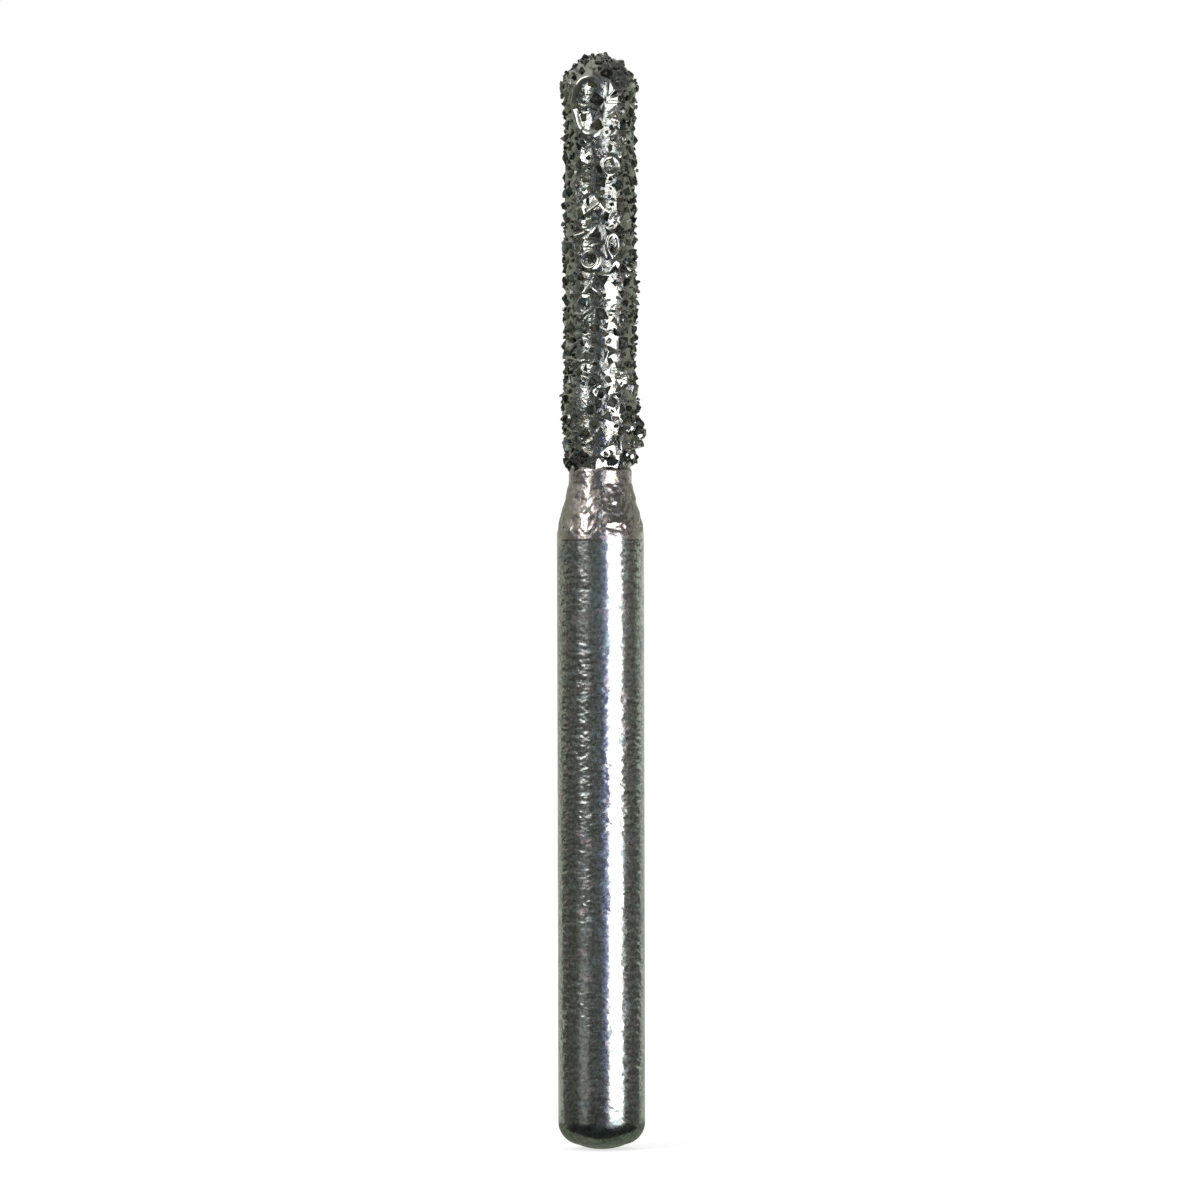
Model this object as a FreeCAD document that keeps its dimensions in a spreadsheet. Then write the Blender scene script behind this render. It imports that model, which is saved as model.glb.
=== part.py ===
import FreeCAD, Part
import math
import os
import random
import Sketcher

# Diamond bur with a plain round shank for a friction grip, head up, axis along +Z.
# The origin is the middle of the shank's domed end. Every size is in millimetres.

doc = FreeCAD.newDocument("DentalBur")

# Driving dimensions
drivingSizes = [
    # Steel blank, turned and ground in one piece
    ("shankDiameter", 1.6, "ground shank, the size that the grip holds"),
    ("shankLength", 11.2, "from the domed end to where the neck starts to narrow"),
    ("neckLength", 1.25, "from the parallel shank to the parallel core"),
    ("neckDiameter", 1.08, "thin end of the neck, and the core under the coating"),
    ("shoulderBlendRadius", 1.5, "rounding between shank and cone"),
    ("neckBlendRadius", 0.6, "rounding between cone and core"),
    ("endDomeRadius", 1.15, "shallow dome of the shank's end"),
    ("endDomeDiameter", 0.9, "width of that dome where the corner's rounding meets it"),
    ("endCornerRadius", 0.42, "rounding between dome and shank"),
    # Nickel bond, plated on round the grains
    ("bareCoreLength", 0.02, "core left uncovered above the neck"),
    ("bondThickness", 0.08, "nickel between the grains"),
    ("bondLength", 7.63, "from the bond's lower edge to its round tip"),
    ("bondEdgeLength", 0.2, "stretch in which the lower edge thins out to nothing"),
    # Diamond grains, tacked to the core and then plated in
    ("grainLargeWidth", 0.37, "widest crystals, over their side corners"),
    ("grainSmallWidth", 0.24, "narrowest crystals, over their side corners"),
    ("grainDepth", 0.096, "foot of a crystal below its side corners"),
    ("grainRise", 0.096, "crown of a crystal above its side corners"),
    ("grainShortShare", 0.25, "most that a corner of a crystal falls short, as a share"),
    ("grainTiltAngle", 12.0, "most that a crystal leans, degrees"),
    ("grainPitch", 0.325, "spacing of the grains on the core's skin"),
    ("grainGap", 0.008, "clear space between neighbouring crystals"),
    ("grainEdgeMargin", 0.1, "bare stretch between the bond's lower edge and the grains"),
    ("strikeThickness", 0.012, "first skin of nickel, under the grains"),
    # Cluster of oversize grains that stands proud near the lower edge
    ("clusterHeight", 0.7, "height of the cluster's middle above the bond's lower edge"),
    ("clusterPitch", 0.26, "distance from one of its crystals to the next"),
    ("clusterWidth", 0.36, "width of its crystals over their side corners"),
    ("clusterDepth", 0.14, "foot of its crystals below their side corners"),
    ("clusterRise", 0.185, "flat crown of its crystals above their side corners"),
    ("clusterCrownShare", 0.5, "size of that flat crown, as a share of the side corners' ring"),
]

sheet = doc.addObject("Spreadsheet::Sheet", "Sizes")
for rowNumber, (alias, number, meaning) in enumerate(drivingSizes, start=1):
    sheet.set(f"A{rowNumber}", alias)
    sheet.set(f"B{rowNumber}", str(number))
    sheet.set(f"C{rowNumber}", meaning)
    sheet.setAlias(f"B{rowNumber}", alias)
doc.recompute()


def size(alias):
    return float(sheet.get(alias))


def originPlane(body, role):
    return next(item for item in body.Origin.OriginFeatures if item.Role == role)


def sketchOnAxisPlane(body, name):
    # Across the sheet is the radius, and up the sheet is the height on the axis
    sketch = body.newObject("Sketcher::SketchObject", name)
    sketch.AttachmentSupport = (originPlane(body, "XZ_Plane"), [""])
    sketch.MapMode = "FlatFace"
    return sketch


def point(across, up):
    return FreeCAD.Vector(across, up, 0)


def addLine(sketch, start, end):
    return sketch.addGeometry(Part.LineSegment(start, end), False)


def addArc(sketch, middle, radius, startAngle, endAngle):
    circle = Part.Circle(middle, FreeCAD.Vector(0, 0, 1), radius)
    return sketch.addGeometry(Part.ArcOfCircle(circle, startAngle, endAngle), False)


def bind(sketch, constraint, expression):
    number = sketch.addConstraint(constraint)
    sketch.setExpression(f"Constraints[{number}]", expression)


def revolveAboutAxis(body, sketch, name):
    revolution = body.newObject("PartDesign::Revolution", name)
    revolution.Profile = sketch
    revolution.ReferenceAxis = (sketch, ["V_Axis"])
    revolution.Angle = 360
    body.Tip = revolution
    return revolution


# Ends of a sketch's lines and arcs, and its own axes, as constraints number them
startPoint, endPoint, middlePoint = range(1, 4)
acrossAxis, heightAxis = range(-1, -3, -1)
sheetOrigin = (acrossAxis, startPoint)

# Places worked out from the driving dimensions, from the shank's end upwards
shankRadius = size("shankDiameter") / 2
coreRadius = size("neckDiameter") / 2
bondRadius = coreRadius + size("bondThickness")
coreStart = size("shankLength") + size("neckLength")
bondEdge = coreStart + size("bareCoreLength")
bondTip = bondEdge + size("bondLength")
coreTip = bondTip - size("bondThickness")
tipMiddle = coreTip - coreRadius
# The same places for the sketches, which follow the sheet by themselves
bondEdgeRule = "Sizes.shankLength + Sizes.neckLength + Sizes.bareCoreLength"
coreTipRule = f"{bondEdgeRule} + Sizes.bondLength - Sizes.bondThickness"


def steelBlankProfile(body):
    # Right half of the blank's outline, drawn up from the domed end to the tip
    sketch = sketchOnAxisPlane(body, "blank_outline")
    domeRadius = size("endDomeRadius")
    cornerRadius = size("endCornerRadius")
    shoulderRadius = size("shoulderBlendRadius")
    neckRadius = size("neckBlendRadius")
    kinkAcross = size("endDomeDiameter") / 2
    kinkUp = domeRadius - math.sqrt(domeRadius**2 - kinkAcross**2)
    cornerMiddle = point(shankRadius - cornerRadius, 0)
    cornerMiddle.y = kinkUp + math.sqrt(cornerRadius**2 - (kinkAcross - cornerMiddle.x) ** 2)
    kinkAngle = math.atan2(kinkUp - cornerMiddle.y, kinkAcross - cornerMiddle.x)
    shankTop = point(shankRadius, size("shankLength"))
    coreBottom = point(coreRadius, coreStart)
    shoulderMiddle = shankTop - point(shoulderRadius, 0)
    neckMiddle = coreBottom + point(neckRadius, 0)
    # The cone touches both roundings, so the line between their middles gives its slope
    between = neckMiddle - shoulderMiddle
    slope = math.atan2(between.y, between.x) - math.acos((shoulderRadius + neckRadius) / between.Length)
    coneNormal = point(math.cos(slope), math.sin(slope))
    coneStart = shoulderMiddle + coneNormal * shoulderRadius
    coneEnd = neckMiddle - coneNormal * neckRadius
    domeEndAngle = math.atan2(kinkUp - domeRadius, kinkAcross)

    axis = addLine(sketch, point(0, 0), point(0, coreTip))
    dome = addArc(sketch, point(0, domeRadius), domeRadius, -math.pi / 2, domeEndAngle)
    corner = addArc(sketch, cornerMiddle, cornerRadius, kinkAngle, 0)
    shank = addLine(sketch, point(shankRadius, cornerMiddle.y), shankTop)
    shoulder = addArc(sketch, shoulderMiddle, shoulderRadius, 0, slope)
    cone = addLine(sketch, coneStart, coneEnd)
    neck = addArc(sketch, neckMiddle, neckRadius, math.pi, math.pi + slope)
    core = addLine(sketch, coreBottom, point(coreRadius, tipMiddle))
    tip = addArc(sketch, point(0, tipMiddle), coreRadius, 0, math.pi / 2)

    rule = Sketcher.Constraint
    for joined in [
        rule("Coincident", axis, startPoint, *sheetOrigin),
        rule("PointOnObject", axis, endPoint, heightAxis),
        rule("Coincident", dome, startPoint, *sheetOrigin),
        rule("PointOnObject", dome, middlePoint, heightAxis),
        rule("Coincident", dome, endPoint, corner, startPoint),
        rule("Vertical", shank),
        rule("Tangent", corner, endPoint, shank, startPoint),
        rule("Tangent", shank, endPoint, shoulder, startPoint),
        rule("Tangent", shoulder, endPoint, cone, startPoint),
        rule("Tangent", cone, endPoint, neck, endPoint),
        rule("Tangent", neck, startPoint, core, startPoint),
        rule("Vertical", core),
        rule("Tangent", core, endPoint, tip, startPoint),
        rule("PointOnObject", tip, middlePoint, heightAxis),
        rule("Coincident", tip, endPoint, axis, endPoint),
    ]:
        sketch.addConstraint(joined)
    upToShankTop = rule("DistanceY", *sheetOrigin, shank, endPoint, size("shankLength"))
    upTheNeck = rule("DistanceY", shank, endPoint, core, startPoint, size("neckLength"))
    upToTip = rule("DistanceY", *sheetOrigin, axis, endPoint, coreTip)
    outToKink = rule("DistanceX", *sheetOrigin, dome, endPoint, kinkAcross)
    outToShank = rule("DistanceX", *sheetOrigin, shank, startPoint, shankRadius)
    outToCore = rule("DistanceX", *sheetOrigin, core, startPoint, coreRadius)
    bind(sketch, upToShankTop, "Sizes.shankLength")
    bind(sketch, upTheNeck, "Sizes.neckLength")
    bind(sketch, upToTip, coreTipRule)
    bind(sketch, outToKink, "Sizes.endDomeDiameter / 2")
    bind(sketch, outToShank, "Sizes.shankDiameter / 2")
    bind(sketch, outToCore, "Sizes.neckDiameter / 2")
    bind(sketch, rule("Radius", dome, domeRadius), "Sizes.endDomeRadius")
    bind(sketch, rule("Radius", corner, cornerRadius), "Sizes.endCornerRadius")
    bind(sketch, rule("Radius", shoulder, shoulderRadius), "Sizes.shoulderBlendRadius")
    bind(sketch, rule("Radius", neck, neckRadius), "Sizes.neckBlendRadius")
    return sketch


def bondProfile(body):
    # Right half of the plated skin, from its thin lower edge round the tip and back
    sketch = sketchOnAxisPlane(body, "bond_outline")
    edgeTop = bondEdge + size("bondEdgeLength")
    inner = addLine(sketch, point(coreRadius, bondEdge), point(coreRadius, tipMiddle))
    innerTip = addArc(sketch, point(0, tipMiddle), coreRadius, 0, math.pi / 2)
    axis = addLine(sketch, point(0, coreTip), point(0, bondTip))
    outerTip = addArc(sketch, point(0, tipMiddle), bondRadius, 0, math.pi / 2)
    outer = addLine(sketch, point(bondRadius, edgeTop), point(bondRadius, tipMiddle))
    edge = addLine(sketch, point(coreRadius, bondEdge), point(bondRadius, edgeTop))

    rule = Sketcher.Constraint
    for joined in [
        rule("Vertical", inner),
        rule("Tangent", inner, endPoint, innerTip, startPoint),
        rule("PointOnObject", innerTip, middlePoint, heightAxis),
        rule("Coincident", innerTip, endPoint, axis, startPoint),
        rule("PointOnObject", axis, startPoint, heightAxis),
        rule("PointOnObject", axis, endPoint, heightAxis),
        rule("Coincident", outerTip, endPoint, axis, endPoint),
        rule("Coincident", outerTip, middlePoint, innerTip, middlePoint),
        rule("Tangent", outer, endPoint, outerTip, startPoint),
        rule("Vertical", outer),
        rule("Coincident", edge, startPoint, inner, startPoint),
        rule("Coincident", edge, endPoint, outer, startPoint),
    ]:
        sketch.addConstraint(joined)
    upToEdge = rule("DistanceY", *sheetOrigin, inner, startPoint, bondEdge)
    upToBondTip = rule("DistanceY", inner, startPoint, axis, endPoint, size("bondLength"))
    upTheEdge = rule("DistanceY", edge, startPoint, edge, endPoint, size("bondEdgeLength"))
    outToCore = rule("DistanceX", *sheetOrigin, inner, startPoint, coreRadius)
    throughTip = rule("DistanceY", axis, startPoint, axis, endPoint, size("bondThickness"))
    bind(sketch, upToEdge, bondEdgeRule)
    bind(sketch, upToBondTip, "Sizes.bondLength")
    bind(sketch, upTheEdge, "Sizes.bondEdgeLength")
    bind(sketch, outToCore, "Sizes.neckDiameter / 2")
    bind(sketch, throughTip, "Sizes.bondThickness")
    return sketch


class Crystal:
    # Double pyramid on three or four side corners, with its foot in the bond and its crown out of it.
    # A crown share above nothing gives it a flat crown, a smaller copy of the ring of side corners.
    def __init__(self, chance, skinPoint, normal, reach, depth, rise, crownShare=0):
        shortfall = size("grainShortShare")
        helper = FreeCAD.Vector(1, 0, 0) if abs(normal.z) > abs(normal.x) else FreeCAD.Vector(0, 0, 1)
        across = normal.cross(helper)
        across.normalize()
        along = normal.cross(across)
        sideCount = chance.choice((3, 4))
        spin = chance.uniform(0, 2 * math.pi)
        sides = []
        for number in range(sideCount):
            angle = spin + 2 * math.pi * (number + chance.uniform(-shortfall, shortfall) / 2) / sideCount
            direction = across * math.cos(angle) + along * math.sin(angle)
            sides.append(direction * reach * chance.uniform(1 - shortfall, 1))
        top = normal * rise * chance.uniform(1 - shortfall, 1) + sides[0] * chance.uniform(0, shortfall)
        crown = [top + side * crownShare for side in sides] if crownShare else [top]
        foot = normal * -depth * chance.uniform(1 - shortfall, 1)
        leanAxis = across * math.cos(spin) + along * math.sin(spin)
        lean = FreeCAD.Rotation(leanAxis, chance.uniform(-1, 1) * size("grainTiltAngle"))
        sides, crown, feet = [[lean.multVec(corner) for corner in ring] for ring in (sides, crown, [foot])]
        lowest = max(-corner.dot(normal) for corner in sides + feet)
        self.middle = skinPoint + normal * (lowest + size("strikeThickness"))
        sides, crown, feet = [[self.middle + corner for corner in ring] for ring in (sides, crown, feet)]
        self.corners = sides + crown + feet
        self.reach = max(self.middle.distanceToPoint(corner) for corner in self.corners)
        self.faces = [self.outwardFace(*crown)] if crownShare else []
        for number in range(sideCount):
            following = (number + 1) % sideCount
            first, second = sides[number], sides[following]
            above = [crown[following], crown[number]] if crownShare else crown
            self.faces.append(self.outwardFace(first, second, *above))
            self.faces.append(self.outwardFace(first, second, *feet))

    def outwardFace(self, *corners):
        first, second, third = corners[:3]
        normal = (second - first).cross(third - first)
        normal.normalize()
        if normal.dot(first - self.middle) < 0:
            return corners[::-1], normal * -1
        return corners, normal

    def partsFrom(self, other):
        # True where the plane of one of this crystal's faces lies between the two
        gap = size("grainGap")
        for (start, *rest), normal in self.faces:
            if min(normal.dot(corner - start) for corner in other.corners) >= gap:
                return True
        return False

    def clears(self, other):
        if self.middle.distanceToPoint(other.middle) >= self.reach + other.reach + size("grainGap"):
            return True
        return self.partsFrom(other) or other.partsFrom(self)

    def solid(self):
        faces = [Part.Face(Part.makePolygon([*corners, corners[0]])) for corners, normal in self.faces]
        return Part.makeSolid(Part.makeShell(faces))


def coreSkin(height, angle):
    # Point on the steel core and its outward normal, on the cylinder or the round tip
    outward = FreeCAD.Vector(math.cos(angle), math.sin(angle), 0)
    if height <= tipMiddle:
        return outward * coreRadius + FreeCAD.Vector(0, 0, height), outward
    rise = (height - tipMiddle) / coreRadius
    normal = outward * math.sqrt(1 - rise**2) + FreeCAD.Vector(0, 0, rise)
    return FreeCAD.Vector(0, 0, tipMiddle) + normal * coreRadius, normal


def addWhereClear(grains, makeCrystal):
    # Draws a crystal again until one misses every grain that is already there
    tries = 60
    for attempt in range(tries):
        crystal = makeCrystal()
        if all(crystal.clears(other) for other in grains):
            grains.append(crystal)
            return


def scatterGrains():
    chance = random.Random(14)
    grains = []

    # The cluster's crystals stand in a slanting row that faces +X
    clusterSizes = size("clusterWidth") / 2, size("clusterDepth"), size("clusterRise")
    turnPerPitch = size("clusterPitch") / bondRadius
    for turns, climbs in [(0.0, 0.0), (0.8, 0.8), (-0.8, -0.8)]:
        height = bondEdge + size("clusterHeight") + climbs * size("clusterPitch")
        place = coreSkin(height, turns * turnPerPitch)
        addWhereClear(grains, lambda: Crystal(chance, *place, *clusterSizes, size("clusterCrownShare")))

    # Equal steps of height carry equal areas of skin, on the cylinder and on the tip alike
    lowest = bondEdge + size("grainEdgeMargin")
    highest = coreTip
    skinArea = 2 * math.pi * coreRadius * (highest - lowest)
    grainCount = round(skinArea / size("grainPitch") ** 2)
    grainSizes = size("grainDepth"), size("grainRise")
    widthLimits = size("grainSmallWidth"), size("grainLargeWidth")
    widths = [chance.uniform(*widthLimits) for number in range(grainCount)]

    def skinPlace():
        return coreSkin(chance.uniform(lowest, highest), chance.uniform(0, 2 * math.pi))

    for width in sorted(widths, reverse=True):
        addWhereClear(grains, lambda: Crystal(chance, *skinPlace(), width / 2, *grainSizes))
    return grains


# Steel blank: domed end, ground shank, conical neck and the core that carries the coating
blank = doc.addObject("PartDesign::Body", "steel_blank")
blank.Label = "steel_blank"
revolveAboutAxis(blank, steelBlankProfile(blank), "blank_turned")
blank.Placement = FreeCAD.Placement()

# Diamond grains: separate crystals in one layer over the core
grit = doc.addObject("Part::Feature", "diamond_grit")
grit.Label = "diamond_grit"
grains = scatterGrains()
grit.Shape = Part.makeCompound([grain.solid() for grain in grains])
grit.Placement = FreeCAD.Placement()

# Nickel bond: a plated skin over the core with a pocket round the foot of every grain
skin = doc.addObject("PartDesign::Body", "bond_skin")
skin.Label = "bond_skin"
revolveAboutAxis(skin, bondProfile(skin), "skin_plated")
bond = doc.addObject("Part::Cut", "nickel_bond")
bond.Label = "nickel_bond"
bond.Base = skin
bond.Tool = grit
bond.Placement = FreeCAD.Placement()
doc.recompute()

# Checks on the finished document, then one file for each piece
for item in doc.Objects:
    if "Invalid" in item.State or "Error" in item.State:
        raise RuntimeError(f"{item.Label} could not be worked out: {item.State}")
for sketch in doc.findObjects("Sketcher::SketchObject"):
    if not sketch.FullyConstrained:
        raise RuntimeError(f"{sketch.Label} is not fully constrained")
pieces = [blank, bond, grit]
for piece in pieces:
    if piece.Shape.isNull() or not piece.Shape.isValid():
        raise RuntimeError(f"{piece.Label} has no valid shape")

os.makedirs("parts", exist_ok=True)
for piece in pieces:
    piece.Shape.exportStep(f"parts/{piece.Label}.step")
    print(piece.Label, len(piece.Shape.Solids), "solids", round(piece.Shape.Volume, 4), "mm3")
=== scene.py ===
# Diamond bur, dressed for its picture. Everything is in metres, in the CAD's own frame.
import math
import random

import bmesh
import bpy
import numpy as np
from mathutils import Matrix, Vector, noise


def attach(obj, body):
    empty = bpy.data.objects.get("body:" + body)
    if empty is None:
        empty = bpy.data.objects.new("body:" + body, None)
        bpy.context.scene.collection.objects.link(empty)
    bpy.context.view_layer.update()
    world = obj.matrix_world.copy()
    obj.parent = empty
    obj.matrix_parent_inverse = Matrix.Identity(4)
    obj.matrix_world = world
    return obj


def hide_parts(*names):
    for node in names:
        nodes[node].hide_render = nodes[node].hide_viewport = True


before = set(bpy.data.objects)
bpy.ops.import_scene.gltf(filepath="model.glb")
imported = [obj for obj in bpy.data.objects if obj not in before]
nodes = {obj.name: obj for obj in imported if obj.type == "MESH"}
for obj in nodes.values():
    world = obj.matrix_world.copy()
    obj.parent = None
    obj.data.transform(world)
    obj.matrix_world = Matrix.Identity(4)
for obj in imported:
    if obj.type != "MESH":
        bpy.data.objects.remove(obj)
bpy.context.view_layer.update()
mm = 0.001
print("frame loaded:", ", ".join(sorted(nodes)))


# Camera at the photo's angle, level with the middle of the bur
photoView = {
    "lens": 200.0,
    "sensor": 36.0,
    "frameWidth": 22.08 * mm,
    "middleHeight": 10.10 * mm,
    "middleAcross": -0.011 * mm,
    "rollDegrees": 0.127,
}


def addCamera(view):
    data = bpy.data.cameras.new("photoCamera")
    data.lens = view["lens"]
    data.sensor_width = view["sensor"]
    data.clip_start = 1 * mm
    data.clip_end = 10
    camera = bpy.data.objects.new("photoCamera", data)
    distance = view["frameWidth"] / view["sensor"] * view["lens"]
    camera.location = (view["middleAcross"], -distance, view["middleHeight"])
    camera.rotation_euler = (math.radians(90), math.radians(view["rollDegrees"]), 0)
    bpy.context.scene.collection.objects.link(camera)
    bpy.context.scene.camera = camera


addCamera(photoView)
bpy.context.scene.view_settings.view_transform = "Standard"
print("camera in place")


# Small helpers for shader trees
def addNode(tree, kind, **values):
    made = tree.nodes.new(kind)
    for name, value in values.items():
        setattr(made, name, value)
    return made


def feed(tree, target, source):
    # A socket becomes a link, anything else is the plain value of the target socket
    if isinstance(source, bpy.types.NodeSocket):
        tree.links.new(source, target)
    else:
        target.default_value = source


def mathNode(tree, operation, first, second=0.0, third=0.0):
    made = addNode(tree, "ShaderNodeMath", operation=operation)
    for socket, source in zip(made.inputs, (first, second, third)):
        feed(tree, socket, source)
    return made.outputs[0]


def mixColours(tree, factor, first, second, blend="MIX"):
    made = addNode(tree, "ShaderNodeMix", data_type="RGBA", blend_type=blend)
    for number, source in zip((0, 6, 7), (factor, first, second)):
        feed(tree, made.inputs[number], source)
    return made.outputs[2]


def mixValues(tree, factor, first, second):
    made = addNode(tree, "ShaderNodeMix", data_type="FLOAT")
    for number, source in zip((0, 2, 3), (factor, first, second)):
        feed(tree, made.inputs[number], source)
    return made.outputs[0]


def attributeValue(tree, name):
    return addNode(tree, "ShaderNodeAttribute", attribute_name=name).outputs["Fac"]


def objectPlace(tree):
    return addNode(tree, "ShaderNodeTexCoord").outputs["Object"]


def raiseSurface(tree, shader, height):
    # The height is in metres
    bump = addNode(tree, "ShaderNodeBump")
    feed(tree, bump.inputs["Height"], height)
    feed(tree, bump.inputs["Distance"], 1.0)
    feed(tree, shader["Normal"], bump.outputs[0])


def stepBetween(tree, source, low, high, outLow=0.0, outHigh=1.0):
    made = addNode(tree, "ShaderNodeMapRange", interpolation_type="SMOOTHSTEP")
    for socket, value in zip(made.inputs, (source, low, high, outLow, outHigh)):
        feed(tree, socket, value)
    return made.outputs[0]


def noiseNode(tree, vector, scale, detail=2.0, roughness=0.5):
    made = addNode(tree, "ShaderNodeTexNoise")
    feed(tree, made.inputs["Vector"], vector)
    feed(tree, made.inputs["Scale"], scale)
    feed(tree, made.inputs["Detail"], detail)
    feed(tree, made.inputs["Roughness"], roughness)
    return made.outputs["Fac"]


def newGroup(name, inputs, outputs):
    group = bpy.data.node_groups.new(name, "ShaderNodeTree")
    for label, kind, value in inputs:
        socket = group.interface.new_socket(label, in_out="INPUT", socket_type=kind)
        socket.default_value = value
    for label, kind in outputs:
        group.interface.new_socket(label, in_out="OUTPUT", socket_type=kind)
    return group, addNode(group, "NodeGroupInput").outputs, addNode(group, "NodeGroupOutput").inputs


def placeGroup(tree, group, *values):
    # The values are for the group's inputs, in their order
    made = addNode(tree, "ShaderNodeGroup", node_tree=group)
    for socket, value in zip(made.inputs, values):
        feed(tree, socket, value)
    return made.outputs


def newMaterial(name):
    material = bpy.data.materials.new(name)
    material.use_nodes = True
    tree = material.node_tree
    shader = next(item for item in tree.nodes if item.type == "BSDF_PRINCIPLED")
    return material, tree, shader.inputs


# Blotchy tone that every finish has: small grey and brown or blue stains
stainForm = {
    "edges": (0.52, 0.7),
    "detail": 3.0,
    "roughness": 0.6,
    "coolShift": (3.1, 1.7, 0.4),
}


def buildStains():
    group, given, result = newGroup("stains", [
        ("Clean Colour", "NodeSocketColor", (0.4, 0.4, 0.4, 1)),
        ("Stain Colour", "NodeSocketColor", (0.3, 0.25, 0.2, 1)),
        ("Cool Colour", "NodeSocketColor", (0.25, 0.28, 0.32, 1)),
        ("Scale", "NodeSocketFloat", 4000.0),
        ("Strength", "NodeSocketFloat", 0.5),
    ], [("Colour", "NodeSocketColor"), ("Mask", "NodeSocketFloat")])
    place = objectPlace(group)
    shifted = addNode(group, "ShaderNodeVectorMath", operation="ADD")
    feed(group, shifted.inputs[0], place)
    feed(group, shifted.inputs[1], stainForm["coolShift"])
    masks = []
    for source in (place, shifted.outputs[0]):
        field = noiseNode(group, source, given["Scale"], stainForm["detail"], stainForm["roughness"])
        stained = stepBetween(group, field, *stainForm["edges"])
        masks.append(mathNode(group, "MULTIPLY", stained, given["Strength"]))
    warmMask, coolMask = masks
    colour = mixColours(group, warmMask, given["Clean Colour"], given["Stain Colour"])
    feed(group, result["Colour"], mixColours(group, coolMask, colour, given["Cool Colour"]))
    feed(group, result["Mask"], mathNode(group, "MAXIMUM", warmMask, coolMask))
    return group


# Lumps of plated nickel, from broad swells down to fine pimples, as a height
creviceEdges = (0.36, 0.5)


def buildNickelLumps():
    group, given, result = newGroup("nickelLumps", [
        ("Lump Scale", "NodeSocketFloat", 9000.0),
        ("Pimple Scale", "NodeSocketFloat", 26000.0),
        ("Pimple Share", "NodeSocketFloat", 0.3),
    ], [("Height", "NodeSocketFloat"), ("Crevice", "NodeSocketFloat")])
    place = objectPlace(group)
    lumps = noiseNode(group, place, given["Lump Scale"], 2.0, 0.5)
    pimples = noiseNode(group, place, given["Pimple Scale"], 2.0, 0.5)
    feed(group, result["Height"], mathNode(group, "MULTIPLY_ADD", pimples, given["Pimple Share"], lumps))
    feed(group, result["Crevice"], stepBetween(group, lumps, *creviceEdges, 1.0, 0.0))
    return group


stains = buildStains()
nickelLumps = buildNickelLumps()


# Ground steel below, and a rough flash of nickel on the neck above the shank's top.
# A tone is a clean colour, a warm and a cool stain, and the stains' scale and strength.
steelFinish = {
    "steelTone": ((0.44, 0.46, 0.43, 1), (0.42, 0.36, 0.38, 1), (0.28, 0.35, 0.36, 1), 3600.0, 0.9),
    "flashTone": ((0.45, 0.40, 0.39, 1), (0.30, 0.27, 0.18, 1), (0.40, 0.42, 0.44, 1), 7000.0, 0.8),
    "speckShade": (0.6, 0.6, 0.6, 1),
    "speckScale": 15000.0,
    "speckEdges": (0.4, 0.62),
    "steelRoughness": 0.19,
    "flashRoughness": 0.2,
    "dirtRoughness": 0.14,
    "flashEdges": (11.18 * mm, 11.22 * mm),
    "flashDepth": 0.0065 * mm,
    "markPitch": 0.10 * mm,
    "markLength": 0.17 * mm,
    "markDepth": 0.019 * mm,
    "markSwing": 1.3 * mm,
    "markCalm": 0.3,
    "markPlace": (0.3, 0.6, 3.4),
    "endFade": (0.45 * mm, 1.3 * mm, 0.15, 1.3),
    "lowerEnd": (0.6 * mm, 3.5 * mm, 1.0, 0.77),
}


def buildSteel(finish):
    material, tree, shader = newMaterial("groundSteel")
    place = objectPlace(tree)
    parted = addNode(tree, "ShaderNodeSeparateXYZ")
    feed(tree, parted.inputs[0], place)
    level = parted.outputs["Z"]
    flash = stepBetween(tree, level, *finish["flashEdges"])

    # Short marks of the grinding wheel, longer across than along Z, deep in some stretches only
    stretched = addNode(tree, "ShaderNodeMapping")
    feed(tree, stretched.inputs["Vector"], place)
    feed(tree, stretched.inputs["Location"], finish["markPlace"])
    feed(tree, stretched.inputs["Scale"], (1 / finish["markLength"],) * 2 + (1 / finish["markPitch"],))
    marks = noiseNode(tree, stretched.outputs[0], 1.0, 1.0, 0.4)
    swing = noiseNode(tree, place, 1 / finish["markSwing"], 1.0)
    calmest = finish["markCalm"] * finish["markDepth"]
    markDepth = stepBetween(tree, swing, 0.35, 0.65, calmest, finish["markDepth"])
    endFade = stepBetween(tree, level, *finish["endFade"])
    lowerEnd = stepBetween(tree, level, *finish["lowerEnd"])
    speckField = noiseNode(tree, place, finish["speckScale"], 2.0, 0.6)
    specks = stepBetween(tree, speckField, *finish["speckEdges"])
    lumps = placeGroup(tree, nickelLumps)

    ground = placeGroup(tree, stains, *finish["steelTone"])
    speckled = mixColours(tree, specks, ground["Colour"], finish["speckShade"], "MULTIPLY")
    plated = placeGroup(tree, stains, *finish["flashTone"])
    feed(tree, shader["Base Color"], mixColours(tree, flash, speckled, plated["Colour"]))
    feed(tree, shader["Metallic"], 1.0)
    dirt = finish["dirtRoughness"]
    groundRough = mathNode(tree, "MULTIPLY_ADD", ground["Mask"], dirt, finish["steelRoughness"])
    flashRough = mathNode(tree, "MULTIPLY_ADD", lumps["Crevice"], dirt, finish["flashRoughness"])
    feed(tree, shader["Roughness"], mixValues(tree, flash, groundRough, flashRough))

    markDepth = mathNode(tree, "MULTIPLY", mathNode(tree, "MULTIPLY", markDepth, endFade), lowerEnd)
    markHeight = mathNode(tree, "MULTIPLY", mathNode(tree, "SUBTRACT", marks, 0.5), markDepth)
    flashHeight = mathNode(tree, "MULTIPLY", lumps["Height"], finish["flashDepth"])
    raiseSurface(tree, shader, mixValues(tree, flash, markHeight, flashHeight))
    return material


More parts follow.
